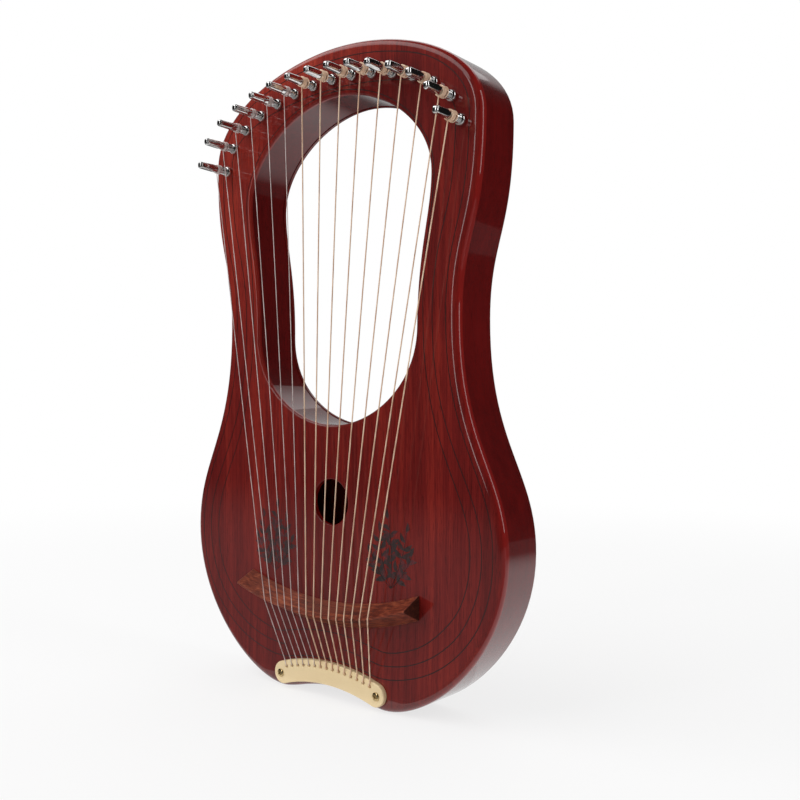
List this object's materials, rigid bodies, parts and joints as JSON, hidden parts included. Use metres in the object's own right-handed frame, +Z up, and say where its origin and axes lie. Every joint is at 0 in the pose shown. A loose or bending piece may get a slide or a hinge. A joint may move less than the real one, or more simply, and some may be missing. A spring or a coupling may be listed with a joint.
{
  "type": "lyre harp",
  "caption": "Wooden lyre harp with a hollow body, open yoke between two arms, strings over a curved bridge and turning pins",
  "frame": {"origin": "middle of the bounding box at the level of the two feet", "axes": "+Z up from the feet to the top of the yoke, -Y out of the soundboard towards the player, +X to the right seen from the front"},
  "size_m": [0.25, 0.06, 0.4],
  "materials": {
    "mahogany": "high gloss red mahogany lacquer",
    "inner_wood": "bare",
    "bridge_wood": "oiled satin",
    "plate_metal": "satin pale gold",
    "pin_steel": "nickel plated",
    "plain_string": "bright",
    "wound_string": "bronze wound"
  },
  "bodies": {
    "root": {"soundboard": "mahogany", "back_plate": "mahogany", "rim": "mahogany", "opening_liner": "mahogany", "pin_block": "inner_wood", "tail_block": "inner_wood", "upper_brace": "inner_wood", "lower_brace": "inner_wood", "back_brace": "inner_wood", "bridge": "bridge_wood", "string_plate": "plate_metal", "plate_screw_left": "plate_metal", "plate_screw_right": "plate_metal", "string_01": "plain_string", "string_02": "plain_string", "string_03": "plain_string", "string_04": "plain_string", "string_05": "plain_string", "string_06": "plain_string", "string_07": "wound_string", "string_08": "wound_string", "string_09": "wound_string", "string_10": "wound_string", "string_11": "wound_string", "string_12": "wound_string", "string_13": "wound_string", "string_14": "wound_string", "string_15": "wound_string"},
    "pin_01": {"tuning_pin_01": "pin_steel", "string_winding_01": "plain_string"},
    "pin_02": {"tuning_pin_02": "pin_steel", "string_winding_02": "plain_string"},
    "pin_03": {"tuning_pin_03": "pin_steel", "string_winding_03": "plain_string"},
    "pin_04": {"tuning_pin_04": "pin_steel", "string_winding_04": "plain_string"},
    "pin_05": {"tuning_pin_05": "pin_steel", "string_winding_05": "plain_string"},
    "pin_06": {"tuning_pin_06": "pin_steel", "string_winding_06": "plain_string"},
    "pin_07": {"tuning_pin_07": "pin_steel", "string_winding_07": "wound_string"},
    "pin_08": {"tuning_pin_08": "pin_steel", "string_winding_08": "wound_string"},
    "pin_09": {"tuning_pin_09": "pin_steel", "string_winding_09": "wound_string"},
    "pin_10": {"tuning_pin_10": "pin_steel", "string_winding_10": "wound_string"},
    "pin_11": {"tuning_pin_11": "pin_steel", "string_winding_11": "wound_string"},
    "pin_12": {"tuning_pin_12": "pin_steel", "string_winding_12": "wound_string"},
    "pin_13": {"tuning_pin_13": "pin_steel", "string_winding_13": "wound_string"},
    "pin_14": {"tuning_pin_14": "pin_steel", "string_winding_14": "wound_string"},
    "pin_15": {"tuning_pin_15": "pin_steel", "string_winding_15": "wound_string"}
  },
  "joints": [
    {"name": "pin_01_turn", "type": "hinge", "parent": "root", "child": "pin_01", "pos_m": [-0.0957, -0.005, 0.3365], "axis": [0, 1, 0], "continuous": true},
    {"name": "pin_02_turn", "type": "hinge", "parent": "root", "child": "pin_02", "pos_m": [-0.08949, -0.005, 0.35088], "axis": [0, 1, 0], "continuous": true},
    {"name": "pin_03_turn", "type": "hinge", "parent": "root", "child": "pin_03", "pos_m": [-0.07711, -0.005, 0.36091], "axis": [0, 1, 0], "continuous": true},
    {"name": "pin_04_turn", "type": "hinge", "parent": "root", "child": "pin_04", "pos_m": [-0.06273, -0.005, 0.36788], "axis": [0, 1, 0], "continuous": true},
    {"name": "pin_05_turn", "type": "hinge", "parent": "root", "child": "pin_05", "pos_m": [-0.04751, -0.005, 0.37278], "axis": [0, 1, 0], "continuous": true},
    {"name": "pin_06_turn", "type": "hinge", "parent": "root", "child": "pin_06", "pos_m": [-0.03186, -0.005, 0.37609], "axis": [0, 1, 0], "continuous": true},
    {"name": "pin_07_turn", "type": "hinge", "parent": "root", "child": "pin_07", "pos_m": [-0.01598, -0.005, 0.37804], "axis": [0, 1, 0], "continuous": true},
    {"name": "pin_08_turn", "type": "hinge", "parent": "root", "child": "pin_08", "pos_m": [0, -0.005, 0.3787], "axis": [0, 1, 0], "continuous": true},
    {"name": "pin_09_turn", "type": "hinge", "parent": "root", "child": "pin_09", "pos_m": [0.01598, -0.005, 0.37804], "axis": [0, 1, 0], "continuous": true},
    {"name": "pin_10_turn", "type": "hinge", "parent": "root", "child": "pin_10", "pos_m": [0.03186, -0.005, 0.37609], "axis": [0, 1, 0], "continuous": true},
    {"name": "pin_11_turn", "type": "hinge", "parent": "root", "child": "pin_11", "pos_m": [0.04751, -0.005, 0.37278], "axis": [0, 1, 0], "continuous": true},
    {"name": "pin_12_turn", "type": "hinge", "parent": "root", "child": "pin_12", "pos_m": [0.06273, -0.005, 0.36788], "axis": [0, 1, 0], "continuous": true},
    {"name": "pin_13_turn", "type": "hinge", "parent": "root", "child": "pin_13", "pos_m": [0.07711, -0.005, 0.36091], "axis": [0, 1, 0], "continuous": true},
    {"name": "pin_14_turn", "type": "hinge", "parent": "root", "child": "pin_14", "pos_m": [0.08949, -0.005, 0.35088], "axis": [0, 1, 0], "continuous": true},
    {"name": "pin_15_turn", "type": "hinge", "parent": "root", "child": "pin_15", "pos_m": [0.0957, -0.005, 0.3365], "axis": [0, 1, 0], "continuous": true}
  ]
}
